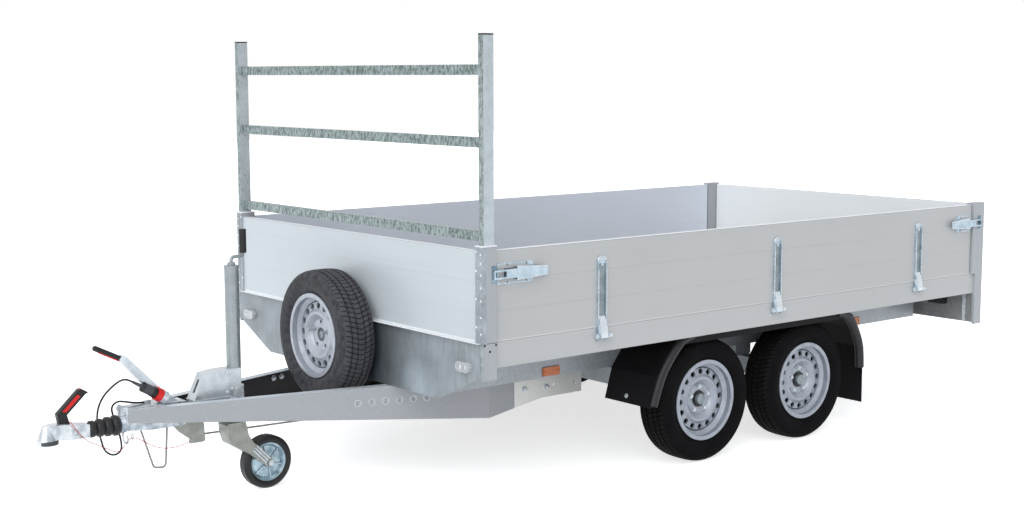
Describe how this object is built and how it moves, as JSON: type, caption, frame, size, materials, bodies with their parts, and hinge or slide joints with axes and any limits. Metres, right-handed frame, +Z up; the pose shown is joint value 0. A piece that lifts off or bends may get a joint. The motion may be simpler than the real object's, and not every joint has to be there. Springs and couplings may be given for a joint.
{
  "type": "utility trailer",
  "caption": "A tandem-axle flatbed utility trailer with aluminium drop sides, a front ladder rack, a front-mounted spare wheel, a jockey wheel and a braked V drawbar.",
  "frame": {"origin": "on the ground, below the middle of the whole trailer's box", "axes": "+X forward along the drawbar to the coupling, +Y to the trailer's left, +Z up"},
  "size_m": [4.736, 1.954, 1.888],
  "materials": {
    "galvanised": "hot-dip galvanised steel with a soft spangle",
    "zinc": "bright zinc plated steel, slightly warm",
    "anodised": "fine brushed anodised aluminium",
    "silver_paint": "smooth silver wheel paint, satin",
    "tyre_rubber": "matt black tyre rubber",
    "soft_rubber": "black moulded rubber",
    "black_plastic": "matt black plastic",
    "grey_plastic": "dark grey plastic",
    "floor_film": "dark brown film-faced birch plywood",
    "lamp_red": "clear red lamp lens",
    "lamp_white": "clear lamp lens",
    "reflector_orange": "orange prism reflector",
    "red_wire": "red plastic coated steel wire"
  },
  "bodies": {
    "chassis": {"axle_front": "galvanised", "axle_rear": "galvanised", "bellows": "soft_rubber", "brake_linkage": "zinc", "breakaway_cable": "red_wire", "chassis_rails": "galvanised", "coupling_handle": "black_plastic", "coupling_head": "zinc", "crank_grip": "black_plastic", "cross_members": "galvanised", "drawbar_left": "galvanised", "drawbar_right": "galvanised", "electric_cable": "soft_rubber", "floor_board": "floor_film", "front_board": "anodised", "front_lamps": "lamp_white", "front_posts": "galvanised", "front_skirt": "galvanised", "handbrake_grip": "black_plastic", "handbrake_lever": "zinc", "hinge_brackets": "zinc", "jockey_clamp": "zinc", "jockey_crank": "zinc", "jockey_outer_tube": "zinc", "ladder_rack": "galvanised", "lamp_board": "galvanised", "latch_catches": "zinc", "mudguard_left": "black_plastic", "mudguard_right": "black_plastic", "overrun_housing": "zinc", "plug": "black_plastic", "rack_caps": "black_plastic", "rave_ends": "anodised", "rave_left": "anodised", "rave_right": "anodised", "rear_lamps": "lamp_red", "rear_posts": "galvanised", "side_reflectors": "reflector_orange", "spare_carrier": "galvanised", "spare_rim": "silver_paint", "spare_tyre": "tyre_rubber", "wire_bow": "zinc"},
    "wheel_front_left": {"tyre_front_left": "tyre_rubber", "rim_front_left": "silver_paint"},
    "wheel_front_right": {"tyre_front_right": "tyre_rubber", "rim_front_right": "silver_paint"},
    "wheel_rear_left": {"tyre_rear_left": "tyre_rubber", "rim_rear_left": "silver_paint"},
    "wheel_rear_right": {"tyre_rear_right": "tyre_rubber", "rim_rear_right": "silver_paint"},
    "side_left": {"side_board_left": "anodised", "board_fittings_left": "zinc"},
    "side_right": {"side_board_right": "anodised", "board_fittings_right": "zinc"},
    "tail": {"tailboard": "anodised", "tailboard_fittings": "zinc"},
    "nose_leg": {"jockey_leg": "zinc"},
    "nose_castor": {"jockey_fork": "zinc"},
    "nose_wheel": {"jockey_rim": "zinc", "jockey_tyre": "soft_rubber"}
  },
  "joints": [
    {"name": "spin_front_left", "type": "hinge", "parent": "chassis", "child": "wheel_front_left", "pos_m": [-0.357, 0.813, 0.281], "axis": [0, 1, 0], "continuous": true},
    {"name": "spin_front_right", "type": "hinge", "parent": "chassis", "child": "wheel_front_right", "pos_m": [-0.357, -0.813, 0.281], "axis": [0, 1, 0], "continuous": true},
    {"name": "spin_rear_left", "type": "hinge", "parent": "chassis", "child": "wheel_rear_left", "pos_m": [-1.037, 0.813, 0.281], "axis": [0, 1, 0], "continuous": true},
    {"name": "spin_rear_right", "type": "hinge", "parent": "chassis", "child": "wheel_rear_right", "pos_m": [-1.037, -0.813, 0.281], "axis": [0, 1, 0], "continuous": true},
    {"name": "drop_left", "type": "hinge", "parent": "chassis", "child": "side_left", "pos_m": [-0.716, 0.963, 0.66], "axis": [-1, 0, 0], "range_deg": [0, 180]},
    {"name": "drop_right", "type": "hinge", "parent": "chassis", "child": "side_right", "pos_m": [-0.716, -0.963, 0.66], "axis": [1, 0, 0], "range_deg": [0, 180]},
    {"name": "drop_tail", "type": "hinge", "parent": "chassis", "child": "tail", "pos_m": [-2.357, 0, 0.66], "axis": [0, -1, 0], "range_deg": [0, 180]},
    {"name": "nose_height", "type": "slide", "parent": "chassis", "child": "nose_leg", "axis": [0, 0, 1], "range_m": [-0.16, 0.008]},
    {"name": "castor_swivel", "type": "hinge", "parent": "nose_leg", "child": "nose_castor", "pos_m": [1.524, 0, 0.27], "axis": [0, 0, 1], "continuous": true},
    {"name": "castor_roll", "type": "hinge", "parent": "nose_castor", "child": "nose_wheel", "pos_m": [1.384, 0, 0.113], "axis": [0, 1, 0], "continuous": true}
  ]
}
